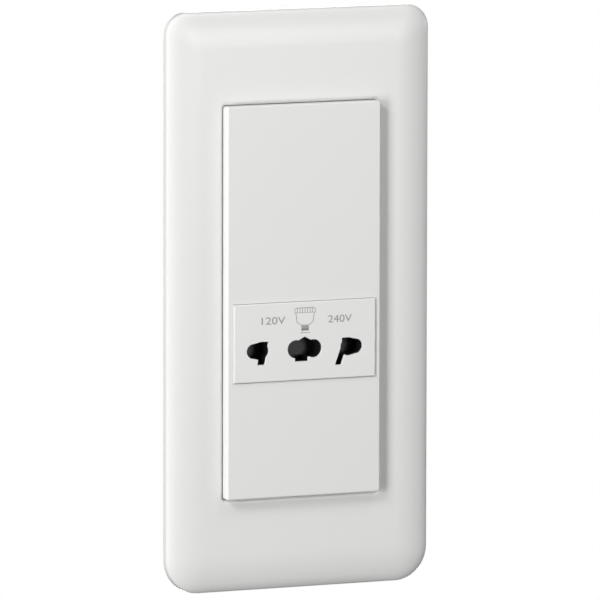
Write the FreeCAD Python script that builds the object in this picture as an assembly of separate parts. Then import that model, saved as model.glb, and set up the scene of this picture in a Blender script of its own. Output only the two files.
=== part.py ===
# A flush shaver socket on a tall two-gang wall plate: a domed cover plate, a raised
# flat face with a small socket panel in it, and an isolating transformer unit behind.
# Millimetres. +X is right seen from the front, +Y goes into the wall, +Z is up.
# The origin is the middle of the plate on the wall plane, which is y = 0.

import FreeCAD, Part
import math
import os

V = FreeCAD.Vector

# Cover plate
plate_width = 82.0
plate_height = 166.0
plate_top_corner = 6.5
plate_bottom_corner = 10.0
plate_crest_corner = 1.2
plate_rim = 1.7
plate_dome = 2.5
plate_dome_width = 10.0
plate_wall = 1.7
collar_wall = 1.2
collar_root = 0.4
window_gap = 0.12
window_edge = 1.2
rib_length = 12.0
rib_wall = 1.0
rib_spacing = 48.0
rib_catch = 0.6
catch_back = 0.3
dome_sections = 9

# Raised face and the housing neck behind it
face_width = 48.0
face_height = 112.5
face_proud = 2.5
face_wall = 2.2
face_edge = 0.5
face_corner = 0.8
skirt_wall = 1.6
ledge_wall = 1.2
neck_step_x = 1.5
neck_step_z = 2.25
neck_wall = 1.8
neck_depth = 6.0
neck_gap = 0.3

# Support frame
frame_inset = 5.0
frame_wall = 2.0
frame_corner = 4.0
frame_lip_wall = 1.2
frame_lip_depth = 2.5
frame_side_gap = 0.15
box_screw_spacing = 120.6
box_screw_hole_r = 2.1
frame_undercut = 1.1
latch_width = 8.0
latch_reach = 1.1
latch_wall = 1.4
latch_height = 34.0
latch_gap = 0.1

# Socket panel and pin guide
insert_side = 1.8
insert_height = 22.5
insert_drop = 11.5
insert_proud = 0.5
insert_gap = 0.12
insert_flange = 1.5
insert_flange_wall = 1.2
insert_flange_gap = 0.3
insert_edge = 0.35
row_drop = 2.3
outer_pin_margin = 8.4
inner_pin_x = 2.8
pin_hole_r = 2.6
slim_pin_offset = 2.3
slim_pin_hole_r = 2.1
left_blade_wall = 2.5
right_blade_wall = 2.1
left_blade_top_x = 1.35
left_blade_tip_x = 0.15
left_blade_drop = 4.0
right_blade_top_x = -1.2
right_blade_tip_x = -3.3
right_blade_drop = 5.1
left_shoulder = 2.0
right_shoulder = 2.15
shoulder_drop = 0.6
waist_half = 2.35
peak_half = 2.5
peak_rise = 0.9
peak_lean = -0.1
peak_root = 0.1
centre_blade_left = 3.1
centre_blade_right = 1.15
centre_blade_drop = 3.55
panel_wall = 0.9
guide_hole_gap = 0.15
guide_seat_gap = 0.2
guide_side_gap = 0.5
guide_height = 14.0
guide_end = -1.0

# Shutter and its spring
shutter_travel = 8.5
shutter_wall = 1.6
shutter_window_margin = 0.35
shutter_cover = 5.0
shutter_gap = 0.3
spring_r = 1.25
spring_wire_r = 0.25
spring_turns = 5.5
spring_room = 11.6
pad_height = 1.6

# Contact carrier and contacts
carrier_side_gap = 0.2
carrier_cheek = 0.9
carrier_crown = 6.3
carrier_back = 16.0
strip_wall = 0.5
fork_setback = 2.0
fork_length = 8.0
fork_grip = 1.4
fork_open = 2.2
fork_lip = 3.2
outer_fork_width = 6.8
outer_fork_offset = 0.75
inner_fork_width = 10.0
tail_width = 1.6
tail_drop = 0.1
tail_end = 19.0
fork_side_gap = 0.3
fork_pinch = 2.4
tail_gap = 0.15
carrier_screw_r = 1.1
carrier_screw_head_r = 2.0
carrier_screw_grip = 4.5
carrier_screw_inset = 3.5
carrier_post_r = 2.4
carrier_lug_wall = 5.0
carrier_lug_margin = 1.0
carrier_head_height = 1.4
carrier_slot = 0.6

# Plunger switch
switch_width = 6.4
switch_height = 12.8
switch_depth = 6.5
plunger_r = 1.2
plunger_travel = 2.0
plunger_gap = 0.06
plunger_front = 8.6
plunger_root = 1.0
plunger_room = 1.6
plunger_round = 0.5
tab_length = 1.5
tab_width = 1.8
tab_wall = 0.5
tab_inset = 1.4

# Transformer
core_stack = 17.0
core_side_gap = 0.7
core_boss_gap = 0.6
core_carrier_gap = 0.2
leg_width = 8.0
lamination_edge = 0.3
bobbin_wall = 1.0
bobbin_gap = 0.1
bobbin_corner = 0.4
flange_proud = 0.3
flange_corner = 0.8
winding_wall = 4.9
winding_corner = 2.5
strap_width = 5.0
strap_wall = 0.7
strap_inset = 3.7
core_post_wall = 3.0
core_post_side = 3.5
core_post_inset = 7.0
cutout_height = 12.0
cutout_width = 5.0
cutout_depth = 2.2
cutout_edge = 0.5
cutout_gap = 0.8

# Rear housing
housing_depth = 40.0
rear_wall = 2.0
rear_edge = 1.0
wall_root = 0.5
boss_r = 3.8
boss_inset = 4.3
screw_r = 1.45
screw_head_r = 2.7
screw_head_height = 1.9
screw_length = 11.0
screw_hole_gap = 0.15
screw_tip_room = 0.6
cross_reach = 1.5
cross_half = 0.35
cross_floor = 0.8
head_gap = 0.45
boss_seat = 4.0
core_rib_overlap = 0.8
core_rib_inset = 6.0
core_rib_height = 4.0
block_rib_width = 2.4
block_rib_height = 3.0
vent_count = 6
vent_width = 2.0
vent_pitch = 6.0
vent_length = 20.0

# Terminals
terminal_count = 3
cage_height = 10.0
cage_wall = 1.0
cage_thread = 2.8
cage_side_wall = 1.1
cage_spacing = 2.1
cage_gap = 0.1
block_wall = 1.6
block_side_wall = 0.9
block_boss_gap = 0.2
block_floor_gap = 1.6
terminal_room = 5.5
terminal_screw_r = 1.7
terminal_screw_stand = 1.2
terminal_tip_gap = 0.2
terminal_head_r = 2.5
terminal_head_height = 1.8
driver_gap = 0.6
slot_width = 0.9
slot_depth = 0.9

# Internal leads
lead_r = 0.7
lead_bend = 2.2
lead_hole_gap = 0.3
lead_rise = 2.2
lead_layer = 1.6
lead_pitch = 5.8
lead_side = 3.6
lead_wall_gap = 2.7
lead_entry = 1.5
lead_lift = 4.4
lead_share = 0.45

# How far a cut runs past the face that it opens, and how near counts as in the same plane
past = 1.0
near = 0.001

# Places worked out from the sizes above
plate_front = -(plate_rim + plate_dome)
plate_inside = plate_front + plate_wall
face_front = plate_front - face_proud
face_inside = face_front + face_wall
neck_width = face_width - 2 * neck_step_x
neck_height = face_height - 2 * neck_step_z
hollow_x = neck_width / 2 - neck_wall
hollow_z = neck_height / 2 - neck_wall
frame_width = plate_width - 2 * frame_inset
frame_height = plate_height - 2 * frame_inset
frame_front = -frame_wall
frame_catch = -catch_back
boss_x = neck_width / 2 - boss_inset
boss_z = neck_height / 2 - boss_inset

insert_width = face_width - 2 * insert_side
insert_front = face_front - insert_proud
insert_z = -insert_drop
row_z = insert_z - row_drop
outer_pin_x = insert_width / 2 - outer_pin_margin
guide_front = insert_front + panel_wall
guide_width = 2 * (hollow_x - guide_side_gap)

carrier_width = 2 * (hollow_x - carrier_side_gap)
shutter_width = carrier_width - 2 * (carrier_cheek + shutter_gap)
shutter_front = guide_end + shutter_gap
shutter_back = shutter_front + shutter_wall
shutter_middle = (shutter_front + shutter_back) / 2
shutter_bottom = row_z - shutter_cover
shutter_top = row_z + shutter_travel + shutter_cover
carrier_front = shutter_back + shutter_gap
carrier_bottom = shutter_bottom - spring_room
carrier_top = row_z + fork_lip + carrier_crown
carrier_screw_x = carrier_width / 2 - carrier_screw_inset
carrier_screw_z = carrier_bottom - carrier_screw_head_r - shutter_gap
fork_front = carrier_front + fork_setback
fork_back = fork_front + fork_length
fork_widths = ((-1, outer_fork_width), (0, inner_fork_width), (1, outer_fork_width))
tail_z = row_z - fork_open - tail_drop
tab_end = carrier_back + switch_depth + tab_length

rear_inside = housing_depth - rear_wall
winding_back = rear_inside - cutout_gap - cutout_depth
core_back = winding_back - winding_wall - bobbin_wall - bobbin_gap
core_front = core_back - core_stack
core_centre_y = core_back - core_stack / 2
core_width = 2 * (hollow_x - core_side_gap)
core_top = boss_z - boss_r - core_boss_gap - strap_wall
core_bottom = carrier_top + core_carrier_gap + strap_wall
core_height = core_top - core_bottom
core_middle = (core_top + core_bottom) / 2
coil_half_x = core_width / 2 - leg_width - bobbin_gap
coil_half_z = core_height / 2 - leg_width - bobbin_gap
strap_middle = core_width / 2 - strap_inset
core_post_x = core_width / 2 - core_post_side

block_side = boss_x - boss_r - block_boss_gap
block_end = block_side_wall + cage_gap
terminal_pitch = (2 * (block_side - block_end) + cage_spacing) / terminal_count
cage_width = terminal_pitch - cage_spacing
wire_hole = cage_width - 2 * cage_side_wall
cage_depth = cage_wall + wire_hole + cage_thread
cage_back = rear_inside - terminal_room
cage_front = cage_back - cage_depth
cage_bottom = -hollow_z + block_floor_gap + block_wall
cage_top = cage_bottom + cage_height
cage_middle = (cage_bottom + cage_top) / 2
wire_y = cage_front + cage_wall + wire_hole / 2
lead_entry_y = cage_back - lead_entry


def block(x0, x1, y0, y1, z0, z1):
    return Part.makeBox(x1 - x0, y1 - y0, z1 - z0, V(x0, y0, z0))


def beside(side, x0, x1, y0, y1, z0, z1):
    """A block at x0 to x1 on the right when side is 1, or mirrored to the left when it is -1."""
    return block(min(side * x0, side * x1), max(side * x0, side * x1), y0, y1, z0, z1)


def rod_y(x, z, radius, y0, y1):
    return Part.makeCylinder(radius, y1 - y0, V(x, y0, z), V(0, 1, 0))


def rod_z(x, y, radius, z0, z1):
    return Part.makeCylinder(radius, z1 - z0, V(x, y, z0), V(0, 0, 1))


def prism(points, y0, y1):
    """A straight-sided outline of (x, z) points, carried from y0 to y1."""
    corners = [V(x, y0, z) for x, z in points]
    face = Part.Face(Part.makePolygon(corners + corners[:1]))
    return face.extrude(V(0, y1 - y0, 0))


def edges_in_plane(shape, y):
    return [e for e in shape.Edges if all(abs(v.Point.y - y) < near for v in e.Vertexes)]


def edges_along(shape, axis, length):
    """The straight edges along X or Y that run the whole length of a block."""
    return [e for e in shape.Edges if abs(getattr(e.BoundBox, axis + "Length") - length) < near]


def rounded_wire(width, height, top_r, bottom_r, y, middle_z=0.0):
    """A rectangle in the plane y, with its own corner radius at the top and the bottom."""
    half = width / 2
    top = middle_z + height / 2
    bottom = middle_z - height / 2
    tilt = math.sqrt(0.5)
    corners = [
        (half - top_r, top - top_r, top_r, 0),
        (-half + top_r, top - top_r, top_r, 90),
        (-half + bottom_r, bottom + bottom_r, bottom_r, 180),
        (half - bottom_r, bottom + bottom_r, bottom_r, 270),
    ]
    edges = []
    last = None
    first = None
    for x, z, r, start in corners:
        turn = math.radians(start)
        ahead = V(math.cos(turn), 0, math.sin(turn))
        aside = V(-math.sin(turn), 0, math.cos(turn))
        centre = V(x, y, z)
        begin = centre + ahead * r
        middle = centre + (ahead + aside) * (r * tilt)
        end = centre + aside * r
        if last is not None:
            edges.append(Part.LineSegment(last, begin).toShape())
        else:
            first = begin
        edges.append(Part.Arc(begin, middle, end).toShape())
        last = end
    edges.append(Part.LineSegment(last, first).toShape())
    return Part.Wire(edges)


def rounded_plate(width, height, radius, y0, y1, middle_z=0.0):
    face = Part.Face(rounded_wire(width, height, radius, radius, y0, middle_z))
    return face.extrude(V(0, y1 - y0, 0))


def domed_body(inset):
    """The plate's outer form, or its hollow when inset is the wall thickness."""
    width = plate_width - 2 * inset
    height = plate_height - 2 * inset
    top_r = plate_top_corner - inset
    bottom_r = plate_bottom_corner - inset
    reach = plate_dome_width - inset
    rise = plate_dome - inset
    rim = Part.Face(rounded_wire(width, height, top_r, bottom_r, 0)).extrude(V(0, -plate_rim, 0))
    sections = []
    for i in range(dome_sections):
        turn = math.radians(90 * i / (dome_sections - 1))
        share = 1 - math.cos(turn)
        inward = reach * share
        y = -plate_rim - rise * math.sin(turn)
        sections.append(rounded_wire(width - 2 * inward, height - 2 * inward,
                                     top_r + (plate_crest_corner - top_r) * share,
                                     bottom_r + (plate_crest_corner - bottom_r) * share, y))
    dome = Part.makeLoft(sections, True, False)
    return rim.fuse(dome).removeSplitter()


def outer_hole(side, y0, y1, grow=0.0):
    """One outer pin opening: a round hole drawn out for slim pins, a square shoulder and a blade slot."""
    x = side * outer_pin_x
    r = pin_hole_r + grow
    slim_x = x + side * slim_pin_offset
    slim_r = slim_pin_hole_r + grow
    hole = rod_y(x, row_z, r, y0, y1)
    slim_hole = rod_y(slim_x, row_z, slim_r, y0, y1)
    between = prism([(x, row_z + r), (slim_x, row_z + slim_r),
                     (slim_x, row_z - slim_r), (x, row_z - r)], y0, y1)
    if side < 0:
        half = left_blade_wall / 2 + grow
        shoulder = block(x, x + left_shoulder + grow, y0, y1, row_z, row_z + r)
        top = (x + left_blade_top_x, row_z + r)
        tip = (x + left_blade_tip_x, row_z - left_blade_drop - grow)
    else:
        half = right_blade_wall / 2 + grow
        shoulder = block(x - right_shoulder - grow, x, y0, y1, row_z - shoulder_drop, row_z + r)
        top = (x + right_blade_top_x, row_z + shoulder_drop)
        tip = (x + right_blade_tip_x, row_z - right_blade_drop - grow)
    slot = prism([(top[0] - half, top[1]), (top[0] + half, top[1]),
                  (tip[0] + half, tip[1]), (tip[0] - half, tip[1])], y0, y1)
    return hole.fuse([slim_hole, between, shoulder, slot]).removeSplitter()


def centre_hole(y0, y1, grow=0.0):
    """The shared opening: two round lobes, a peak above them and a blade slot below."""
    r = pin_hole_r + grow
    lobes = [rod_y(side * inner_pin_x, row_z, r, y0, y1) for side in (-1, 1)]
    waist = block(-inner_pin_x, inner_pin_x, y0, y1, row_z - waist_half, row_z + waist_half)
    foot_z = row_z + waist_half - peak_root
    peak = prism([(-peak_half, foot_z), (peak_lean, row_z + r + peak_rise), (peak_half, foot_z)], y0, y1)
    blade = block(-centre_blade_left - grow, centre_blade_right + grow, y0, y1,
                  row_z - centre_blade_drop - grow, row_z)
    return waist.fuse(lobes + [peak, blade]).removeSplitter()


def pin_holes(y0, y1, grow=0.0):
    return [outer_hole(-1, y0, y1, grow), centre_hole(y0, y1, grow), outer_hole(1, y0, y1, grow)]


def cover_plate():
    body = domed_body(0.0).cut(domed_body(plate_wall))
    window_width = face_width + 2 * window_gap
    window_height = face_height + 2 * window_gap
    collar = rounded_plate(window_width + 2 * collar_wall, window_height + 2 * collar_wall,
                           face_corner + collar_wall, plate_inside - collar_root, frame_front)
    body = body.fuse(collar)
    window = rounded_plate(window_width, window_height, face_corner + window_gap,
                           plate_front - past, past)
    body = body.cut(window)
    inner = frame_width / 2 + frame_side_gap
    ribs = []
    for side in (-1, 1):
        for step in (-1, 0, 1):
            low = step * rib_spacing - rib_length / 2
            high = step * rib_spacing + rib_length / 2
            ribs.append(beside(side, inner, inner + rib_wall, plate_inside, frame_catch, low, high))
            ribs.append(beside(side, inner - rib_catch, inner + rib_wall,
                               frame_catch - rib_catch, frame_catch, low, high))
    body = body.fuse([rib.common(domed_body(0.0)) for rib in ribs]).removeSplitter()
    rounded = [edge for edge in body.Edges
               if abs(edge.BoundBox.YMin - plate_front) < near
               and abs(edge.BoundBox.YMax - plate_front) < near
               and abs(edge.CenterOfMass.x) < window_width / 2 + near
               and abs(edge.CenterOfMass.z) < window_height / 2 + near]
    return body.makeFillet(window_edge, rounded)


def support_frame():
    flange = rounded_plate(frame_width, frame_height, frame_corner, frame_front, 0)
    opening_width = neck_width + 2 * neck_gap
    opening_height = neck_height + 2 * neck_gap
    lip = rounded_plate(opening_width + 2 * frame_lip_wall, opening_height + 2 * frame_lip_wall,
                        face_corner + frame_lip_wall, 0, frame_lip_depth)
    frame = flange.fuse(lip)
    frame = frame.cut(rounded_plate(opening_width, opening_height, face_corner,
                                    frame_front - past, frame_lip_depth + past))
    undercut = rounded_plate(frame_width + 2 * past, frame_height + 2 * past, frame_corner,
                             -frame_undercut, past)
    undercut = undercut.cut(rounded_plate(frame_width - 2 * frame_undercut, frame_height - 2 * frame_undercut,
                                          frame_corner - frame_undercut, -frame_undercut, past))
    frame = frame.cut(undercut)
    for side in (-1, 1):
        frame = frame.cut(rod_y(0, side * box_screw_spacing / 2, box_screw_hole_r, frame_front - past, past))
    return frame.removeSplitter()


def front_housing():
    face = rounded_plate(face_width, face_height, face_corner, face_front, frame_front)
    face = face.makeFillet(face_edge, edges_in_plane(face, face_front))
    inner_width = face_width - 2 * skirt_wall
    inner_height = face_height - 2 * skirt_wall
    face = face.cut(block(-inner_width / 2, inner_width / 2, face_inside, frame_front - ledge_wall,
                          -inner_height / 2, inner_height / 2))
    neck = block(-neck_width / 2, neck_width / 2, frame_front - ledge_wall, neck_depth,
                 -neck_height / 2, neck_height / 2)
    body = face.fuse(neck)
    body = body.cut(block(-hollow_x, hollow_x, face_inside, neck_depth + past, -hollow_z, hollow_z))
    aperture = block(-insert_width / 2 - insert_gap, insert_width / 2 + insert_gap,
                     face_front - past, face_inside + past,
                     insert_z - insert_height / 2 - insert_gap, insert_z + insert_height / 2 + insert_gap)
    body = body.cut(aperture)
    additions = []
    latch_y = frame_lip_depth + latch_gap
    for side_x in (-1, 1):
        for side_z in (-1, 1):
            additions.append(rod_y(side_x * boss_x, side_z * boss_z, boss_r, face_inside, neck_depth))
            z = side_z * latch_height
            additions.append(beside(side_x, neck_width / 2 - neck_wall / 2, neck_width / 2 + latch_reach,
                                    latch_y, latch_y + latch_wall, z - latch_width / 2, z + latch_width / 2))
            z = core_middle + side_z * (core_height / 2 - core_post_inset)
            additions.append(beside(side_x,
                                    core_post_x - core_post_wall / 2, core_post_x + core_post_wall / 2,
                                    face_inside, core_front - strap_wall,
                                    z - core_post_wall / 2, z + core_post_wall / 2))
        additions.append(rod_y(side_x * carrier_screw_x, carrier_screw_z, carrier_post_r,
                               face_inside, carrier_front))
    body = body.fuse(additions)
    for side_x in (-1, 1):
        for side_z in (-1, 1):
            body = body.cut(rod_y(side_x * boss_x, side_z * boss_z, screw_r,
                                  neck_depth + boss_seat - screw_length - screw_tip_room, neck_depth + past))
        body = body.cut(rod_y(side_x * carrier_screw_x, carrier_screw_z, carrier_screw_r,
                              carrier_front - carrier_screw_grip - screw_tip_room, carrier_front + past))
    return body.removeSplitter()


def socket_insert():
    panel = block(-insert_width / 2, insert_width / 2, insert_front, face_inside,
                  insert_z - insert_height / 2, insert_z + insert_height / 2)
    panel = panel.makeFillet(insert_edge, edges_in_plane(panel, insert_front))
    half = hollow_x - insert_flange_gap
    flange = block(-half, half, face_inside, face_inside + insert_flange_wall,
                   insert_z - insert_height / 2 - insert_flange,
                   insert_z + insert_height / 2 + insert_flange)
    body = panel.fuse(flange)
    relief = block(-guide_width / 2 - guide_seat_gap, guide_width / 2 + guide_seat_gap, guide_front,
                   face_inside + insert_flange_wall + past,
                   row_z - guide_height / 2 - guide_seat_gap, row_z + guide_height / 2 + guide_seat_gap)
    body = body.cut(relief)
    for hole in pin_holes(insert_front - past, face_inside + past):
        body = body.cut(hole)
    return body.removeSplitter()


def pin_guide():
    body = block(-guide_width / 2, guide_width / 2, guide_front, guide_end,
                 row_z - guide_height / 2, row_z + guide_height / 2)
    for hole in pin_holes(insert_front, guide_end + past, guide_hole_gap):
        body = body.cut(hole)
    return body.cut(pad_way()).removeSplitter()


def pad_way():
    """The room that the spring and the shutter's pad need in the pieces beside them."""
    half = spring_r + spring_wire_r + shutter_gap
    return block(-half, half, shutter_middle - half, shutter_middle + half,
                 carrier_bottom, shutter_bottom + pad_height + shutter_gap)


def shutter():
    plate = block(-shutter_width / 2, shutter_width / 2, shutter_front, shutter_back,
                  shutter_bottom, shutter_top)
    for hole in pin_holes(shutter_front - past, shutter_back + past, shutter_window_margin):
        hole.translate(V(0, 0, shutter_travel))
        plate = plate.cut(hole)
    pad = spring_r + spring_wire_r
    plate = plate.fuse(block(-pad, pad, shutter_middle - pad, shutter_middle + pad,
                             shutter_bottom, shutter_bottom + pad_height))
    return plate.removeSplitter()


def shutter_spring():
    low = carrier_bottom + spring_wire_r
    length = spring_room - 2 * spring_wire_r
    helix = Part.makeHelix(length / spring_turns, length, spring_r)
    helix.translate(V(0, shutter_middle, low))
    start = helix.Vertexes[0].Point
    circle = Part.Wire(Part.Circle(start, V(0, 1, 0), spring_wire_r).toShape())
    return Part.Wire(helix.Edges).makePipeShell([circle], True, True)


def contact_carrier():
    body = block(-carrier_width / 2, carrier_width / 2, carrier_front, carrier_back,
                 carrier_bottom, carrier_top)
    additions = []
    lug_bottom = carrier_screw_z - carrier_post_r - carrier_lug_margin
    for side in (-1, 1):
        additions.append(beside(side, shutter_width / 2 + shutter_gap, carrier_width / 2,
                                guide_end, carrier_front, carrier_bottom, carrier_top))
        additions.append(beside(side,
                                carrier_screw_x - carrier_post_r - carrier_lug_margin, carrier_width / 2,
                                carrier_front, carrier_front + carrier_lug_wall,
                                lug_bottom, carrier_bottom))
    half = 2 * spring_r
    shelf = spring_r + spring_wire_r
    additions.append(block(-half, half, shutter_middle - shelf, carrier_front + shelf,
                           carrier_bottom - pad_height, carrier_bottom))
    body = body.fuse(additions).cut(pad_way())
    for side, width in fork_widths:
        x = fork_x(side)
        half = width / 2 + fork_side_gap
        room = fork_lip + fork_side_gap
        body = body.cut(block(x - half, x + half, carrier_front - past, fork_back,
                              row_z - room, row_z + room))
        tail = tail_x(side)
        half = tail_width / 2 + tail_gap
        body = body.cut(block(tail - half, tail + half, fork_back - past, carrier_back + past,
                              tail_z - strip_wall / 2 - tail_gap, tail_z + strip_wall / 2 + tail_gap))
    body = body.cut(rod_y(0, row_z, plunger_r + plunger_gap, fork_back - past, carrier_back + past))
    for side in (-1, 1):
        body = body.cut(rod_y(side * carrier_screw_x, carrier_screw_z, carrier_screw_r + screw_hole_gap,
                              carrier_front - past, carrier_front + carrier_lug_wall + past))
    return body.removeSplitter()


def fork_x(side):
    return side * (outer_pin_x + outer_fork_offset)


def tail_x(side):
    if side == 0:
        return inner_fork_width / 2 - tail_width / 2
    return side * outer_pin_x


def contact(side, width):
    """A spring fork folded from strip, with a tail that goes out through the carrier."""
    x = fork_x(side)
    points = [(fork_front, fork_lip - strip_wall / 2), (fork_front + fork_pinch, fork_grip),
              (fork_back - strip_wall / 2, fork_open), (fork_back - strip_wall / 2, -fork_open),
              (fork_front + fork_pinch, -fork_grip), (fork_front, -fork_lip + strip_wall / 2)]
    parts = []
    half = strip_wall / 2
    for (y0, z0), (y1, z1) in zip(points, points[1:]):
        length = math.hypot(y1 - y0, z1 - z0)
        along = V(0, (y1 - y0) / length, (z1 - z0) / length)
        across = V(0, -along.z, along.y)
        a = V(x - width / 2, y0, row_z + z0)
        b = V(x - width / 2, y1, row_z + z1)
        corners = [a + across * half, b + across * half, b - across * half, a - across * half]
        side_face = Part.Face(Part.makePolygon(corners + corners[:1]))
        parts.append(side_face.extrude(V(width, 0, 0)))
    for y, z in points[1:-1]:
        pin = Part.makeCylinder(half, width, V(x - width / 2, y, row_z + z), V(1, 0, 0))
        parts.append(pin)
    tail = tail_x(side)
    parts.append(block(tail - tail_width / 2, tail + tail_width / 2, fork_back - strip_wall / 2, tail_end,
                       tail_z - strip_wall / 2, tail_z + strip_wall / 2))
    body = parts[0].fuse(parts[1:])
    if side == 0:
        body = body.cut(rod_y(0, row_z, plunger_r + fork_side_gap,
                              fork_back - 2 * strip_wall, fork_back + past))
    return body.removeSplitter()


def switch_body():
    body = block(-switch_width / 2, switch_width / 2, carrier_back, carrier_back + switch_depth,
                 row_z - switch_height / 2, row_z + switch_height / 2)
    return body.cut(rod_y(0, row_z, plunger_r + plunger_gap, carrier_back - past,
                          carrier_back + plunger_travel + plunger_room))


def switch_plunger():
    body = rod_y(0, row_z, plunger_r, plunger_front, carrier_back + plunger_root)
    return body.makeFillet(plunger_round, edges_in_plane(body, plunger_front))


def switch_tabs():
    tabs = []
    back = carrier_back + switch_depth
    for i in (-1, 0, 1):
        z = row_z + i * (switch_height / 2 - tab_inset)
        tabs.append(block(-tab_width / 2, tab_width / 2, back, tab_end, z - tab_wall / 2, z + tab_wall / 2))
    return Part.makeCompound(tabs)


def transformer_core():
    outer = block(-core_width / 2, core_width / 2, core_front, core_back,
                  core_middle - core_height / 2, core_middle + core_height / 2)
    outer = outer.makeChamfer(lamination_edge, edges_along(outer, "Y", core_stack))
    half = core_width / 2 - leg_width
    for side in (-1, 1):
        z0 = core_middle + side * leg_width
        z1 = core_middle + side * (core_height / 2 - leg_width)
        outer = outer.cut(block(-half, half, core_front - past, core_back + past, min(z0, z1), max(z0, z1)))
    return outer


def ring(x0, x1, inner_y, inner_z, outer_y, outer_z, corner):
    """A square ring about the centre leg, with its outer corners rounded."""
    outer = block(x0, x1, core_centre_y - outer_y, core_centre_y + outer_y,
                  core_middle - outer_z, core_middle + outer_z)
    outer = outer.makeFillet(corner, edges_along(outer, "X", x1 - x0))
    return outer.cut(block(x0 - past, x1 + past, core_centre_y - inner_y, core_centre_y + inner_y,
                           core_middle - inner_z, core_middle + inner_z))


def coil_bobbin():
    bore_y = core_stack / 2 + bobbin_gap
    bore_z = leg_width + bobbin_gap
    tube = ring(-coil_half_x, coil_half_x, bore_y, bore_z, bore_y + bobbin_wall, bore_z + bobbin_wall,
                bobbin_corner)
    flange_y = bore_y + bobbin_wall + winding_wall + flange_proud
    flanges = []
    for x in (-coil_half_x, -bobbin_wall / 2, coil_half_x - bobbin_wall):
        flanges.append(ring(x, x + bobbin_wall, bore_y, bore_z, flange_y, coil_half_z, flange_corner))
    return tube.fuse(flanges).removeSplitter()


def winding(side):
    x0 = bobbin_wall / 2
    x1 = coil_half_x - bobbin_wall
    if side < 0:
        x0, x1 = -x1, -x0
    inner_y = core_stack / 2 + bobbin_gap + bobbin_wall
    inner_z = leg_width + bobbin_gap + bobbin_wall
    outer_z = coil_half_z - flange_proud
    return ring(x0, x1, inner_y, inner_z, inner_y + winding_wall, outer_z, winding_corner)


def core_straps():
    straps = []
    for side in (-1, 1):
        x0 = side * strap_middle - strap_width / 2
        x1 = side * strap_middle + strap_width / 2
        outer = block(x0, x1, core_front - strap_wall, core_back + strap_wall,
                      core_middle - core_height / 2 - strap_wall, core_middle + core_height / 2 + strap_wall)
        outer = outer.makeFillet(strap_wall, edges_along(outer, "X", strap_width))
        straps.append(outer.cut(block(x0 - past, x1 + past, core_front, core_back,
                                      core_middle - core_height / 2, core_middle + core_height / 2)))
    return Part.makeCompound(straps)


def cutout_x():
    """The middle of the primary winding, which the cut-out lies on."""
    return -(coil_half_x - bobbin_wall / 2) / 2


def thermal_cutout():
    x = cutout_x()
    body = block(x - cutout_width / 2, x + cutout_width / 2, winding_back, winding_back + cutout_depth,
                 core_middle - cutout_height / 2, core_middle + cutout_height / 2)
    return body.makeFillet(cutout_edge, body.Edges)


def terminal_places():
    first = -(terminal_count - 1) / 2
    return [(first + i) * terminal_pitch for i in range(terminal_count)]


def terminal_cages():
    cages = []
    half = wire_hole / 2
    for x in terminal_places():
        cage = block(x - cage_width / 2, x + cage_width / 2, cage_front, cage_back, cage_bottom, cage_top)
        cage = cage.cut(block(x - half, x + half, wire_y - half, wire_y + half,
                              cage_bottom - past, cage_top - cage_wall))
        cages.append(cage.cut(rod_y(x, cage_middle, terminal_screw_r, wire_y, cage_back + past)))
    return Part.makeCompound(cages)


def terminal_screws():
    screws = []
    tip = wire_y + wire_hole / 2 - terminal_tip_gap
    seat = cage_back + terminal_screw_stand
    top = seat + terminal_head_height
    for x in terminal_places():
        shank = rod_y(x, cage_middle, terminal_screw_r, tip, seat)
        head = rod_y(x, cage_middle, terminal_head_r, seat, top)
        slot = block(x - terminal_head_r, x + terminal_head_r, top - slot_depth, top + past,
                     cage_middle - slot_width / 2, cage_middle + slot_width / 2)
        screws.append(shank.fuse(head).cut(slot))
    return Part.makeCompound(screws)


def terminal_block():
    body = block(-block_side, block_side, cage_front - block_wall, cage_back,
                 cage_bottom - block_wall, cage_top + block_wall)
    half = wire_hole / 2
    room = cage_width / 2 + cage_gap
    for x in terminal_places():
        body = body.cut(block(x - room, x + room, cage_front, cage_back + past,
                              cage_bottom - cage_gap, cage_top + cage_gap))
        body = body.cut(block(x - half, x + half, wire_y - half, wire_y + half,
                              cage_bottom - block_wall - past, cage_middle))
    for x in (terminal_places()[0], terminal_places()[-1]):
        body = body.cut(rod_z(x, lead_entry_y, lead_r + lead_hole_gap,
                              cage_middle, cage_top + block_wall + past))
    return body.removeSplitter()


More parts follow.
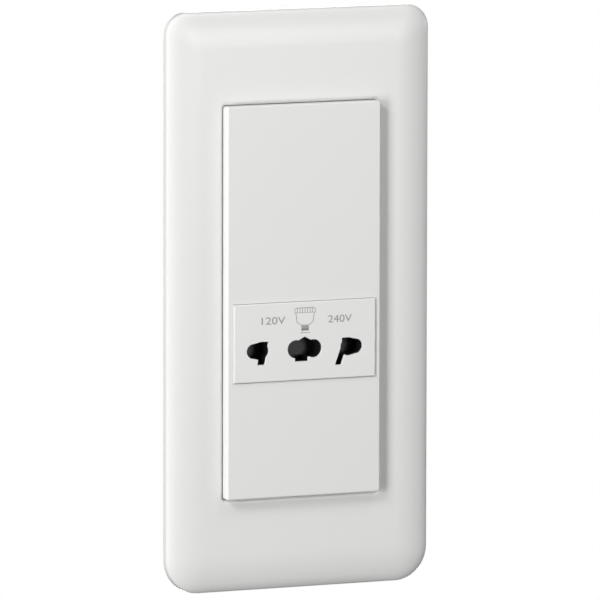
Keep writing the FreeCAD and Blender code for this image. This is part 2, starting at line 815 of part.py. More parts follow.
def rear_housing():
    x = neck_width / 2
    z = neck_height / 2
    body = block(-x, x, neck_depth, housing_depth, -z, z)
    body = body.makeFillet(rear_edge, edges_in_plane(body, housing_depth))
    body = body.cut(block(-hollow_x, hollow_x, neck_depth - past, rear_inside, -hollow_z, hollow_z))
    root = rear_inside + wall_root
    additions = []
    for side_x in (-1, 1):
        for side_z in (-1, 1):
            additions.append(rod_y(side_x * boss_x, side_z * boss_z, boss_r, neck_depth, root))
            rib_z = core_middle + side_z * (core_height / 2 - core_rib_inset)
            additions.append(beside(side_x, core_width / 2 - core_rib_overlap, hollow_x + wall_root,
                                    core_back, root,
                                    rib_z - core_rib_height / 2, rib_z + core_rib_height / 2))
        additions.append(beside(side_x, block_side - block_rib_width, block_side, cage_back, root,
                                cage_top + block_wall - block_rib_height, cage_top + block_wall))
    body = body.fuse(additions)
    for side_x in (-1, 1):
        for side_z in (-1, 1):
            place = (side_x * boss_x, side_z * boss_z)
            seat = neck_depth + boss_seat
            body = body.cut(rod_y(place[0], place[1], screw_r + screw_hole_gap,
                                  neck_depth - past, seat + past))
            body = body.cut(rod_y(place[0], place[1], screw_head_r + head_gap, seat, housing_depth + past))
    half = wire_hole / 2
    for place in terminal_places():
        body = body.cut(rod_y(place, cage_middle, terminal_head_r + driver_gap,
                              rear_inside - past, housing_depth + past))
        body = body.cut(block(place - half, place + half, wire_y - half, wire_y + half,
                              -z - past, -hollow_z + past))
    for i in range(vent_count):
        vent_z = core_middle + (i - (vent_count - 1) / 2) * vent_pitch
        body = body.cut(block(-vent_length / 2, vent_length / 2, rear_inside - past, housing_depth + past,
                              vent_z - vent_width / 2, vent_z + vent_width / 2))
    return body.removeSplitter()


def housing_screws():
    screws = []
    seat = neck_depth + boss_seat
    floor = seat + cross_floor
    top = seat + screw_head_height
    for side_x in (-1, 1):
        for side_z in (-1, 1):
            x = side_x * boss_x
            z = side_z * boss_z
            shank = rod_y(x, z, screw_r, seat - screw_length, seat)
            head = rod_y(x, z, screw_head_r, seat, top)
            cross = block(x - cross_reach, x + cross_reach, floor, top + past,
                          z - cross_half, z + cross_half)
            cross = cross.fuse(block(x - cross_half, x + cross_half, floor, top + past,
                                     z - cross_reach, z + cross_reach))
            screws.append(shank.fuse(head).cut(cross))
    return Part.makeCompound(screws)


def carrier_screws():
    screws = []
    seat = carrier_front + carrier_lug_wall
    for side in (-1, 1):
        x = side * carrier_screw_x
        shank = rod_y(x, carrier_screw_z, carrier_screw_r, carrier_front - carrier_screw_grip, seat)
        head = rod_y(x, carrier_screw_z, carrier_screw_head_r, seat, seat + carrier_head_height)
        slot = block(x - carrier_screw_head_r, x + carrier_screw_head_r, seat + carrier_head_height / 2,
                     seat + carrier_head_height + past,
                     carrier_screw_z - carrier_slot / 2, carrier_screw_z + carrier_slot / 2)
        screws.append(shank.fuse(head).cut(slot))
    return Part.makeCompound(screws)


def lead(points):
    """An insulated wire along straight runs joined by tangent arcs."""
    route = [V(*p) for p in points]
    edges = []
    start = route[0]
    for before, corner, after in zip(route, route[1:], route[2:]):
        into = (corner - before).normalize()
        out = (after - corner).normalize()
        turn = into.getAngle(out)
        room = min((corner - before).Length, (after - corner).Length) * lead_share
        reach = min(lead_bend * math.tan(turn / 2), room)
        radius = reach / math.tan(turn / 2)
        begin = corner - into * reach
        end = corner + out * reach
        bisector = (out - into).normalize()
        centre = corner + bisector * (radius / math.cos(turn / 2))
        middle = centre - bisector * radius
        edges.append(Part.LineSegment(start, begin).toShape())
        edges.append(Part.Arc(begin, middle, end).toShape())
        start = end
    edges.append(Part.LineSegment(start, route[-1]).toShape())
    path = Part.Wire(edges)
    ahead = (route[1] - route[0]).normalize()
    circle = Part.Wire(Part.Circle(route[0], ahead, lead_r).toShape())
    return path.makePipeShell([circle], True, False)


def lead_routes():
    """Each lead's corners: the supply to the switch and the cut-out, and the windings to the forks."""
    left, middle, right = terminal_places()
    tab = switch_height / 2 - tab_inset
    switch_y = (tab_end + rear_inside) / 2
    layers = [core_back + lead_rise + i * lead_layer for i in range(3)]
    rows = [core_middle + i * lead_pitch for i in (-2, -1, 0, 1, 2)]
    beside_coil = coil_half_x + lead_side
    wall_x = hollow_x - lead_wall_gap
    low_run = (cage_top + row_z - tab) / 2
    cut_x = cutout_x()
    cut_y = winding_back + cutout_depth / 2
    routes = {}
    x = tail_x(1)
    routes["lead_right"] = [(x, tail_end, tail_z), (x, layers[0], tail_z), (x, layers[0], rows[0]),
                            (coil_half_x, layers[0], rows[0])]
    x = tail_x(0)
    routes["lead_common"] = [(x, tail_end, tail_z), (x, layers[2], tail_z), (x, layers[2], carrier_top),
                             (beside_coil, layers[2], carrier_top), (beside_coil, layers[2], rows[1]),
                             (coil_half_x, layers[2], rows[1])]
    x = tail_x(-1)
    middle_y = (tail_end + layers[1]) / 2
    routes["lead_left"] = [(x, tail_end, tail_z), (x, middle_y, tail_z), (x, middle_y, low_run + lead_lift),
                           (wall_x, middle_y, low_run + lead_lift), (wall_x, layers[1], low_run + lead_lift),
                           (wall_x, layers[1], rows[2]), (coil_half_x, layers[1], rows[2])]
    routes["lead_live"] = [(0, tab_end, row_z - tab), (0, switch_y, row_z - tab), (0, switch_y, low_run),
                           (right, lead_entry_y, low_run), (right, lead_entry_y, cage_top)]
    routes["lead_neutral"] = [(left, lead_entry_y, cage_top), (left, lead_entry_y, low_run),
                              (-wall_x, layers[0], low_run), (-wall_x, layers[0], rows[0]),
                              (-coil_half_x, layers[0], rows[0])]
    routes["lead_switched"] = [(0, tab_end, row_z + tab), (0, switch_y + lead_layer, row_z + tab),
                               (cut_x, cut_y, core_bottom), (cut_x, cut_y, core_middle - cutout_height / 2)]
    routes["lead_cutout"] = [(cut_x, cut_y, core_middle + cutout_height / 2), (cut_x, cut_y, rows[4]),
                             (-beside_coil, cut_y, rows[4]), (-beside_coil, layers[1], rows[3]),
                             (-coil_half_x, layers[1], rows[3])]
    return routes


def build():
    os.makedirs("parts", exist_ok=True)
    nodes = {
        "cover_plate": cover_plate(),
        "support_frame": support_frame(),
        "front_housing": front_housing(),
        "socket_insert": socket_insert(),
        "pin_guide": pin_guide(),
        "shutter": shutter(),
        "shutter_spring": shutter_spring(),
        "contact_carrier": contact_carrier(),
        "contact_left": contact(-1, outer_fork_width),
        "contact_common": contact(0, inner_fork_width),
        "contact_right": contact(1, outer_fork_width),
        "switch_body": switch_body(),
        "switch_plunger": switch_plunger(),
        "switch_tabs": switch_tabs(),
        "transformer_core": transformer_core(),
        "coil_bobbin": coil_bobbin(),
        "primary_winding": winding(-1),
        "secondary_winding": winding(1),
        "core_straps": core_straps(),
        "thermal_cutout": thermal_cutout(),
        "terminal_block": terminal_block(),
        "terminal_cages": terminal_cages(),
        "terminal_screws": terminal_screws(),
        "rear_housing": rear_housing(),
        "housing_screws": housing_screws(),
        "carrier_screws": carrier_screws(),
    }
    for name, points in lead_routes().items():
        nodes[name] = lead(points)
    for name, shape in nodes.items():
        shape.exportStep("parts/" + name + ".step")
        box = shape.BoundBox
        print(name, shape.isValid(), len(shape.Solids), round(shape.Volume, 1),
              "X", round(box.XMin, 2), round(box.XMax, 2), "Y", round(box.YMin, 2), round(box.YMax, 2),
              "Z", round(box.ZMin, 2), round(box.ZMax, 2))


build()
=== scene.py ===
import bpy
import math
from mathutils import Matrix, Vector


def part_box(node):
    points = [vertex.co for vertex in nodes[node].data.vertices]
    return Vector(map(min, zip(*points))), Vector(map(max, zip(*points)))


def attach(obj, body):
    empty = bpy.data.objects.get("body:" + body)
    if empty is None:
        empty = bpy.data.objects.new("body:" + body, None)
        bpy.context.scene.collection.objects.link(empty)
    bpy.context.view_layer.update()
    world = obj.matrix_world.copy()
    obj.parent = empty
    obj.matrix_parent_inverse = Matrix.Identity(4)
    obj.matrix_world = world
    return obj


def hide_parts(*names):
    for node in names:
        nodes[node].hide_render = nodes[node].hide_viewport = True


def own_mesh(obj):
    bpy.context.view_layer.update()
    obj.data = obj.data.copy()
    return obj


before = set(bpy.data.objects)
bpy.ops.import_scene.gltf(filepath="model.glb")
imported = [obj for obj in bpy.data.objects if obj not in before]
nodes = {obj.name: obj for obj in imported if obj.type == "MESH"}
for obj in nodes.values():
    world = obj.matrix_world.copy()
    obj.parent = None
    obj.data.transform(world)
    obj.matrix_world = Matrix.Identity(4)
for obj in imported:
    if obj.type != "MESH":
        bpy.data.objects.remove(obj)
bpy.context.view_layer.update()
MM = 0.001


# Support frame
# A grey glass-filled moulding that two screws hold to the wall box. It is moulded in one piece,
# and the cover plate's catches and the unit's latches snap to its edges.
frame_grey = (0.50, 0.51, 0.52)
weld = 0.0005 * MM
flat_angle = math.radians(0.05)
sharp_angle = math.radians(35)
bevel_steps = 2
mix_dark, mix_light, mix_colour = 6, 7, 2    # the colour sockets of a Mix node
flow_scale, flow_detail = 35, 3
grain_scale, grain_detail = 2600, 2
plastic_gloss_spread = (0.85, 1.15)
plastic_bump = 0.25


def new_finish(name):
    """An empty material, with its node tree, its shader and the object's own coordinates."""
    material = bpy.data.materials.new(name)
    material.use_nodes = True
    tree = material.node_tree
    place = tree.nodes.new("ShaderNodeTexCoord").outputs["Object"]
    return material, tree, tree.nodes["Principled BSDF"], place


def noise(tree, place, scale, detail):
    """A noise with its scale per metre, as an output between 0 and 1."""
    texture = tree.nodes.new("ShaderNodeTexNoise")
    texture.inputs["Scale"].default_value = scale
    texture.inputs["Detail"].default_value = detail
    tree.links.new(place, texture.inputs["Vector"])
    return texture.outputs["Fac"]


def tint(tree, shader, share, dark, light):
    """The base colour goes from dark to light with the share."""
    mix = tree.nodes.new("ShaderNodeMix")
    mix.data_type = "RGBA"
    mix.inputs[mix_dark].default_value = (*dark, 1)
    mix.inputs[mix_light].default_value = (*light, 1)
    tree.links.new(share, mix.inputs[0])
    tree.links.new(mix.outputs[mix_colour], shader.inputs["Base Color"])


def roughen(tree, shader, share, roughness, spread):
    """The roughness goes with the share between two parts of its middle value."""
    gloss = tree.nodes.new("ShaderNodeMapRange")
    gloss.inputs["To Min"].default_value = roughness * spread[0]
    gloss.inputs["To Max"].default_value = roughness * spread[1]
    tree.links.new(share, gloss.inputs["Value"])
    tree.links.new(gloss.outputs["Result"], shader.inputs["Roughness"])


def emboss(tree, shader, share, strength, depth):
    """The share stands out of the surface as a fine bump."""
    bump = tree.nodes.new("ShaderNodeBump")
    bump.inputs["Strength"].default_value = strength
    bump.inputs["Distance"].default_value = depth
    tree.links.new(share, bump.inputs["Height"])
    tree.links.new(bump.outputs["Normal"], shader.inputs["Normal"])


def moulded_plastic(name, colour, roughness, grain, flow=0.02):
    """Moulded plastic: faint flow marks in the colour, and the mould's fine grain in the gloss."""
    material, tree, shader, place = new_finish(name)
    clouds = noise(tree, place, flow_scale, flow_detail)
    tint(tree, shader, clouds, [c * (1 - flow) for c in colour],
         [min(1, c * (1 + flow)) for c in colour])
    fine = noise(tree, place, grain_scale, grain_detail)
    roughen(tree, shader, fine, roughness, plastic_gloss_spread)
    emboss(tree, shader, fine, plastic_bump, grain * MM)
    return material


def finish_node(node, material):
    """A CAD node keeps its mesh and takes a better material."""
    slots = nodes[node].data.materials
    for i in range(len(slots)):
        slots[i] = material


def deselect():
    """Goes back to object mode with nothing selected."""
    if bpy.context.mode != "OBJECT":
        bpy.ops.object.mode_set(mode="OBJECT")
    bpy.ops.object.select_all(action="DESELECT")


def pick(*pieces):
    """Selects only these pieces, with the first one active."""
    deselect()
    for piece in pieces:
        piece.select_set(True)
    bpy.context.view_layer.objects.active = pieces[0]


def modify(piece, kind, **settings):
    """Adds a modifier and makes it part of the mesh."""
    pick(piece)
    modifier = piece.modifiers.new(kind, kind)
    for key, value in settings.items():
        setattr(modifier, key, value)
    bpy.ops.object.modifier_apply(modifier=modifier.name)


def settle(name, material, body, slot, *replaced):
    """Puts the active piece's place into its mesh, and gives it a name, a finish and a body."""
    piece = bpy.context.view_layer.objects.active
    bpy.ops.object.transform_apply(location=True, rotation=True, scale=True)
    piece.name = name
    piece.data.name = name
    piece.data.materials.clear()
    piece.data.materials.append(material)
    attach(piece, body)
    if replaced:
        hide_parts(*replaced)
    return piece


def merged_copy(node, name):
    """A copy of a CAD node's mesh with its loose triangles joined up."""
    piece = bpy.data.objects.new(name, nodes[node].data.copy())
    bpy.context.scene.collection.objects.link(piece)
    pick(piece)
    bpy.ops.mesh.customdata_custom_splitnormals_clear()
    bpy.ops.object.mode_set(mode="EDIT")
    bpy.ops.mesh.select_all(action="SELECT")
    bpy.ops.mesh.remove_doubles(threshold=weld)
    bpy.ops.mesh.dissolve_limited(angle_limit=flat_angle)
    bpy.ops.object.mode_set(mode="OBJECT")
    return piece


def soften(node, material, body, slot, radius):
    """A copy of a CAD node with its sharp edges rounded off stands for the node."""
    piece = merged_copy(node, node + "_moulding")
    modify(piece, "BEVEL", width=radius, segments=bevel_steps, limit_method="ANGLE",
           angle_limit=sharp_angle)
    bpy.ops.object.shade_smooth_by_angle(angle=sharp_angle)
    modify(piece, "WEIGHTED_NORMAL", keep_sharp=True)
    return settle(piece.name, material, body, slot, node)


frame_plastic = moulded_plastic("frame_plastic", frame_grey, roughness=0.48, grain=0.03)
soften("support_frame", frame_plastic, "unit", "frame_grey", 0.15 * MM)


# Front housing
# The raised white face and the neck behind it are one injection moulding in a satin white plastic.
# Bosses and posts behind the face take the screws of the carrier and of the rear housing.
face_white = (0.80, 0.80, 0.79)
face_plastic = moulded_plastic("face_plastic", face_white, roughness=0.36, grain=0.008, flow=0.006)
soften("front_housing", face_plastic, "unit", "face_white", 0.10 * MM)


# Socket panel
# A small white insert moulded apart from the face and clipped in from behind, a little proud of it.
# Its two voltages and the shaver sign are pad-printed in grey ink above the three pin openings.
panel_white = (0.81, 0.81, 0.80)
ink_grey = (0.34, 0.34, 0.34)
ink_wall = 0.03 * MM
panel_plastic = moulded_plastic("panel_plastic", panel_white, roughness=0.36, grain=0.008, flow=0.006)
soften("socket_insert", panel_plastic, "unit", "panel_white", 0.12 * MM)
panel_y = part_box("socket_insert")[0].y
ink = moulded_plastic("printing_ink", ink_grey, roughness=0.55, grain=0.004)
mark_height = 2.1 * MM
mark_width = 7.4 * MM
low_voltage_x, low_voltage_z = -10.3 * MM, -5.4 * MM
high_voltage_x, high_voltage_z = 10.9 * MM, -5.7 * MM
cap_share = 0.7


def print_words(name, words, place, height, width, slot, turn=0.0):
    """Words as flat ink, stretched to their printed width and facing along -Y before the turn."""
    deselect()
    bpy.ops.object.text_add(location=place, rotation=(math.pi / 2, 0, turn))
    mark = bpy.context.view_layer.objects.active
    mark.data.body = words
    mark.data.align_x = "CENTER"
    mark.data.align_y = "CENTER"
    mark.data.size = height / cap_share
    bpy.context.view_layer.update()
    mark.scale.x = width / mark.dimensions.x
    mark.data.extrude = ink_wall
    bpy.ops.object.convert(target="MESH")
    return settle(name, ink, "unit", slot)


print_words("mark_low_voltage", "120V", (low_voltage_x, panel_y, low_voltage_z),
            mark_height, mark_width, "panel_white")
print_words("mark_high_voltage", "240V", (high_voltage_x, panel_y, high_voltage_z),
            mark_height, mark_width, "panel_white")


def ink_stroke(points, width, y, closed=False):
    """A printed line through (x, z) points in millimetres on a face at y."""
    deselect()
    data = bpy.data.curves.new("stroke", "CURVE")
    data.dimensions = "3D"
    spline = data.splines.new("POLY")
    spline.points.add(len(points) - 1)
    for point, (x, z) in zip(spline.points, points):
        point.co = (x * MM, 0, z * MM, 1)
    spline.use_cyclic_u = closed
    data.bevel_depth = width / 2
    data.bevel_resolution = 1
    stroke = bpy.data.objects.new("stroke", data)
    bpy.context.scene.collection.objects.link(stroke)
    pick(stroke)
    bpy.ops.object.convert(target="MESH")
    stroke.scale.y = 2 * ink_wall / width
    stroke.location.y = y
    return stroke


# The shaver sign, in millimetres: a foil head with its comb, a hollow body, a solid grip, and a
# line for the wall
sign_top = -2.0
head_half = 3.2
head_height = 1.4
head_corner = 0.4
comb_count = 7
body_top_half = 2.9
body_low_half = 2.5
body_shoulder = -6.0
body_low = -6.95
grip_half = 1.15
grip_height = 1.7
wall_line_half = 1.5
wall_line_z = -9.15
stroke_width = 0.22 * MM
head_low = sign_top - head_height
head = [(-head_half, head_low), (-head_half, sign_top - head_corner),
        (-head_half + head_corner, sign_top), (head_half - head_corner, sign_top),
        (head_half, sign_top - head_corner), (head_half, head_low)]
strokes = [ink_stroke(head, stroke_width, panel_y, closed=True)]
for i in range(comb_count):
    x = head_half * (2 * (i + 1) / (comb_count + 1) - 1)
    strokes.append(ink_stroke([(x, head_low), (x, sign_top)], stroke_width, panel_y))
body = [(-body_top_half, head_low), (-body_low_half, body_shoulder), (-grip_half, body_low),
        (grip_half, body_low), (body_low_half, body_shoulder), (body_top_half, head_low)]
strokes.append(ink_stroke(body, stroke_width, panel_y))
grip_z = body_low - grip_height / 2
strokes.append(ink_stroke([(-grip_half, grip_z), (grip_half, grip_z)], grip_height * MM, panel_y))
wall_line = [(-wall_line_half, wall_line_z), (wall_line_half, wall_line_z)]
strokes.append(ink_stroke(wall_line, stroke_width, panel_y))
pick(*strokes)
bpy.ops.object.join()
settle("shaver_sign", ink, "unit", "panel_white")


# Pin guide
# A moulded black block behind the panel, with the same three openings. It keeps a plug's pins in
# line on their way to the shutter.
guide_black = (0.012, 0.012, 0.012)
guide_plastic = moulded_plastic("guide_plastic", guide_black, roughness=0.42, grain=0.02)
soften("pin_guide", guide_plastic, "unit", "black_plastic", 0.12 * MM)


# Shutter and its spring
# A black plate that closes the openings from behind, moulded in a slippery plastic, and pushed
# down by a plug's pins against a small coiled spring of drawn wire with closed ends.
shutter_black = (0.014, 0.014, 0.015)
shutter_plastic = moulded_plastic("shutter_plastic", shutter_black, roughness=0.30, grain=0.01)
soften("shutter", shutter_plastic, "shutter", "black_plastic", 0.12 * MM)
line_scale, line_detail = 4000, 2
patch_scale, patch_detail = 300, 5
metal_gloss_spread = (0.7, 1.4)
metal_bump = 0.1
metal_grain = 0.003 * MM
metal_wear = 0.12


def drawn_metal(name, colour, roughness, streaks):
    """Plated or rolled metal: streaks along the way it was drawn, and darker rubbed patches."""
    material, tree, shader, place = new_finish(name)
    shader.inputs["Metallic"].default_value = 1.0
    stretch = tree.nodes.new("ShaderNodeMapping")
    stretch.inputs["Scale"].default_value = streaks
    tree.links.new(place, stretch.inputs["Vector"])
    lines = noise(tree, stretch.outputs["Vector"], line_scale, line_detail)
    roughen(tree, shader, lines, roughness, metal_gloss_spread)
    emboss(tree, shader, lines, metal_bump, metal_grain)
    patches = noise(tree, place, patch_scale, patch_detail)
    tint(tree, shader, patches, [c * (1 - metal_wear) for c in colour], colour)
    return material


along_x, along_z, no_streaks = (0.15, 1, 1), (1, 1, 0.2), (1, 1, 1)
spring_steel = drawn_metal("spring_wire", (0.55, 0.56, 0.58), roughness=0.25, streaks=along_z)
spring_low, spring_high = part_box("shutter_spring")
spring_wire_r = 0.25 * MM
spring_turns = 5.5
closed_turns = 0.75
closed_pitch = 2.1 * spring_wire_r
steps_per_turn = 24
wire_facets = 3
coil_r = (spring_high.x - spring_low.x) / 2 - spring_wire_r
coil_height = spring_high.z - spring_low.z - 2 * spring_wire_r
open_pitch = (coil_height - 2 * closed_turns * closed_pitch) / (spring_turns - 2 * closed_turns)
spring_x = (spring_low.x + spring_high.x) / 2
spring_y = (spring_low.y + spring_high.y) / 2


def coil_rise(turn):
    """The height of the wire after some turns, with close turns at both ends."""
    first = min(turn, closed_turns)
    last = max(0, turn - (spring_turns - closed_turns))
    return (first + last) * closed_pitch + (turn - first - last) * open_pitch


def wire_along(name, points, radius, facets):
    """A round wire through points, with its ends closed, as a mesh."""
    data = bpy.data.curves.new(name, "CURVE")
    data.dimensions = "3D"
    spline = data.splines.new("POLY")
    spline.points.add(len(points) - 1)
    for point, place in zip(spline.points, points):
        point.co = (*place, 1)
    data.bevel_depth = radius
    data.bevel_resolution = facets
    data.use_fill_caps = True
    wire = bpy.data.objects.new(name, data)
    bpy.context.scene.collection.objects.link(wire)
    pick(wire)
    bpy.ops.object.convert(target="MESH")
    bpy.ops.object.shade_smooth_by_angle(angle=sharp_angle)
    return wire


coil = []
for i in range(round(spring_turns * steps_per_turn) + 1):
    turn = i / steps_per_turn
    angle = 2 * math.pi * turn
    coil.append((spring_x + coil_r * math.cos(angle), spring_y + coil_r * math.sin(angle),
                 spring_low.z + spring_wire_r + coil_rise(turn)))
wire_along("shutter_coil", coil, spring_wire_r, wire_facets)
shutter_coil = settle("shutter_coil", spring_steel, "unit", "spring_steel", "shutter_spring")
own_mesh(shutter_coil)


# Contact carrier
# A black block behind the shutter that holds the three forks and the switch, fixed by two
# slotted screws that cut their own thread in the front housing's posts.
carrier_black = (0.016, 0.016, 0.016)
carrier_plastic = moulded_plastic("carrier_plastic", carrier_black, roughness=0.45, grain=0.03)
soften("contact_carrier", carrier_plastic, "unit", "black_plastic", 0.12 * MM)
zinc = drawn_metal("zinc_plate", (0.66, 0.67, 0.68), roughness=0.30, streaks=no_streaks)

# A screw's facets and bevel steps, then its proportions: the thread's height in shank radii, the
# rounding of its tip and head, the slot's narrowing and its length in head radii
core_sides, head_sides, thread_sides, thread_steps = 32, 48, 3, 24
tip_steps, head_steps = 2, 4
thread_share = 0.22
tip_share = 0.45
head_share = 0.45
slot_taper = 0.8
slot_share = 2.2


def select_where(piece, test):
    """Selects the vertices of the piece in edit mode whose place passes the test."""
    bpy.ops.mesh.select_all(action="DESELECT")
    bpy.ops.object.mode_set(mode="OBJECT")
    for vertex in piece.data.vertices:
        vertex.select = test(vertex.co)
    bpy.ops.object.mode_set(mode="EDIT")


def screw(shank_r, pitch, tip_y, seat_y, head_r, top_y, drive):
    """A screw along Y at x = z = 0: a tapered core, a thread wound on it, and a cut pan head."""
    thread_height = thread_share * shank_r
    core_r = shank_r - thread_height
    length = seat_y - tip_y
    deselect()
    bpy.ops.mesh.primitive_cylinder_add(vertices=core_sides, radius=core_r, depth=length,
                                        rotation=(math.pi / 2, 0, 0),
                                        location=(0, (tip_y + seat_y) / 2, 0))
    core = bpy.context.view_layer.objects.active
    bpy.ops.object.transform_apply(location=True, rotation=True, scale=True)
    bpy.ops.object.mode_set(mode="EDIT")
    select_where(core, lambda co: co.y < (tip_y + seat_y) / 2)
    bpy.ops.mesh.bevel(offset=tip_share * core_r, segments=tip_steps, affect="EDGES")
    bpy.ops.object.mode_set(mode="OBJECT")

    turns = int((length - 2 * pitch) / pitch)
    deselect()
    bpy.ops.mesh.primitive_circle_add(vertices=thread_sides, radius=thread_height, fill_type="NOTHING")
    thread = bpy.context.view_layer.objects.active
    bpy.ops.object.mode_set(mode="EDIT")
    bpy.ops.mesh.select_all(action="SELECT")
    bpy.ops.transform.rotate(value=-math.pi / 2, orient_axis="Z", center_override=(0, 0, 0))
    bpy.ops.transform.translate(value=(shank_r - thread_height, 0, 0))
    bpy.ops.object.mode_set(mode="OBJECT")
    modify(thread, "SCREW", axis="Y", angle=2 * math.pi, screw_offset=pitch, iterations=turns,
           steps=thread_steps, render_steps=thread_steps, use_merge_vertices=False)
    bpy.ops.object.mode_set(mode="EDIT")
    bpy.ops.mesh.select_all(action="SELECT")
    bpy.ops.mesh.fill_holes(sides=thread_sides)
    bpy.ops.mesh.normals_make_consistent(inside=False)
    bpy.ops.object.mode_set(mode="OBJECT")
    thread.location.y = tip_y + pitch
    bpy.ops.object.transform_apply(location=True, rotation=True, scale=True)

    deselect()
    bpy.ops.mesh.primitive_cylinder_add(vertices=head_sides, radius=head_r, depth=top_y - seat_y,
                                        rotation=(math.pi / 2, 0, 0),
                                        location=(0, (seat_y + top_y) / 2, 0))
    head = bpy.context.view_layer.objects.active
    bpy.ops.object.transform_apply(location=True, rotation=True, scale=True)
    bpy.ops.object.mode_set(mode="EDIT")
    select_where(head, lambda co: co.y > (seat_y + top_y) / 2)
    bpy.ops.mesh.bevel(offset=head_share * (top_y - seat_y), segments=head_steps, affect="EDGES")
    bpy.ops.object.mode_set(mode="OBJECT")
    for cut_x, cut_z, depth in drive:
        deselect()
        bpy.ops.mesh.primitive_cube_add(size=1, location=(0, top_y, 0), scale=(cut_x, 2 * depth, cut_z))
        cutter = bpy.context.view_layer.objects.active
        bpy.ops.object.transform_apply(location=True, rotation=True, scale=True)
        bpy.ops.object.mode_set(mode="EDIT")
        select_where(cutter, lambda co: co.y < top_y)
        bpy.ops.transform.resize(value=(slot_taper, 1, slot_taper), center_override=(0, top_y, 0))
        bpy.ops.object.mode_set(mode="OBJECT")
        modify(head, "BOOLEAN", operation="DIFFERENCE", solver="EXACT", object=cutter)
        bpy.data.objects.remove(cutter)
    pick(head, core, thread)
    bpy.ops.object.join()
    bpy.ops.object.shade_smooth_by_angle(angle=sharp_angle)
    return head


def copies(piece, places):
    """The piece at each (x, z) place, each copy with its own mesh, joined into one."""
    made = []
    for x, z in places:
        pick(piece)
        bpy.ops.object.duplicate()
        copy = bpy.context.view_layer.objects.active
        copy.location = (x, 0, z)
        bpy.ops.object.transform_apply(location=True, rotation=True, scale=True)
        made.append(copy)
    bpy.data.objects.remove(piece)
    pick(*made)
    bpy.ops.object.join()


low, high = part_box("carrier_screws")
carrier_head_r = (high.z - low.z) / 2
carrier_head_height = 1.4 * MM
carrier_shank_r = 1.1 * MM
carrier_pitch = 0.8 * MM
carrier_slot_width, carrier_slot_depth = 0.6 * MM, 0.7 * MM
carrier_screw = screw(carrier_shank_r, carrier_pitch, low.y, high.y - carrier_head_height, carrier_head_r,
                      high.y, [(slot_share * carrier_head_r, carrier_slot_width, carrier_slot_depth)])
copies(carrier_screw, [(x, (low.z + high.z) / 2)
                       for x in (low.x + carrier_head_r, high.x - carrier_head_r)])
settle("carrier_screw_pair", zinc, "unit", "zinc_steel", "carrier_screws")


# Contacts
# Three forks folded from rolled spring bronze, pressed into the carrier from the front. A pin slides
# in between a fork's leaves, and the tail behind them takes a lead.
bronze = drawn_metal("spring_bronze", (0.72, 0.50, 0.26), roughness=0.26, streaks=along_x)
for side in ("left", "common", "right"):
    finish_node("contact_" + side, bronze)


# Switch
# A small sealed snap switch in dark grey plastic, glued behind the carrier, with a white plunger
# that the pin in the middle opening pushes, and three brass solder tabs.
switch_case = moulded_plastic("switch_case", (0.045, 0.045, 0.05), roughness=0.40, grain=0.02)
soften("switch_body", switch_case, "unit", "switch_plastic", 0.2 * MM)
plunger_plastic = moulded_plastic("plunger_plastic", (0.78, 0.77, 0.72), roughness=0.35, grain=0.01)
finish_node("switch_plunger", plunger_plastic)
brass = drawn_metal("milled_brass", (0.78, 0.62, 0.30), roughness=0.24, streaks=along_z)
finish_node("switch_tabs", brass)


# Transformer
# A stack of varnished steel sheets, each an E and an I laid in by turns from both ends, on a nylon
# bobbin with two chambers of enamelled copper wire. Two steel straps hold the stack.
core_low, core_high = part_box("transformer_core")
core_middle = (core_low + core_high) / 2
core_size = core_high - core_low
leg_width = 8.0 * MM
sheet_wall = 0.5 * MM
sheet_gap = 0.03 * MM
seam = 0.06 * MM
sheet_edge = 0.05 * MM
sheet_count = 2 * round(core_size.y / sheet_wall / 2)
sheet_pitch = core_size.y / sheet_count


def box_at(low, high):
    """A plain box between two corners."""
    deselect()
    bpy.ops.mesh.primitive_cube_add(size=1, location=[(a + b) / 2 for a, b in zip(low, high)],
                                    scale=[b - a for a, b in zip(low, high)])
    piece = bpy.context.view_layer.objects.active
    bpy.ops.object.transform_apply(location=True, rotation=True, scale=True)
    return piece


def core_sheet(index, seam_side):
    """One sheet with two windows, and the seam between its E and its I near one end."""
    y0 = core_low.y + index * sheet_pitch + sheet_gap / 2
    y1 = y0 + sheet_pitch - sheet_gap
    sheet = box_at((core_low.x, y0, core_low.z), (core_high.x, y1, core_high.z))
    cuts = []
    for side in (-1, 1):
        z0 = core_middle.z + side * leg_width
        z1 = core_middle.z + side * (core_size.z / 2 - leg_width)
        cuts.append(((core_low.x + leg_width, y0 - sheet_wall, min(z0, z1)),
                     (core_high.x - leg_width, y1 + sheet_wall, max(z0, z1))))
    seam_x = core_middle.x + seam_side * (core_size.x / 2 - leg_width)
    cuts.append(((seam_x - seam / 2, y0 - sheet_wall, core_low.z - sheet_wall),
                 (seam_x + seam / 2, y1 + sheet_wall, core_high.z + sheet_wall)))
    for cut_low, cut_high in cuts:
        cutter = box_at(cut_low, cut_high)
        modify(sheet, "BOOLEAN", operation="DIFFERENCE", solver="EXACT", object=cutter)
        bpy.data.objects.remove(cutter)
    modify(sheet, "BEVEL", width=sheet_edge, segments=1, limit_method="ANGLE", angle_limit=sharp_angle)
    modify(sheet, "ARRAY", count=sheet_count // 2, use_relative_offset=False, use_constant_offset=True,
           constant_offset_displace=(0, 2 * sheet_pitch, 0))
    return sheet


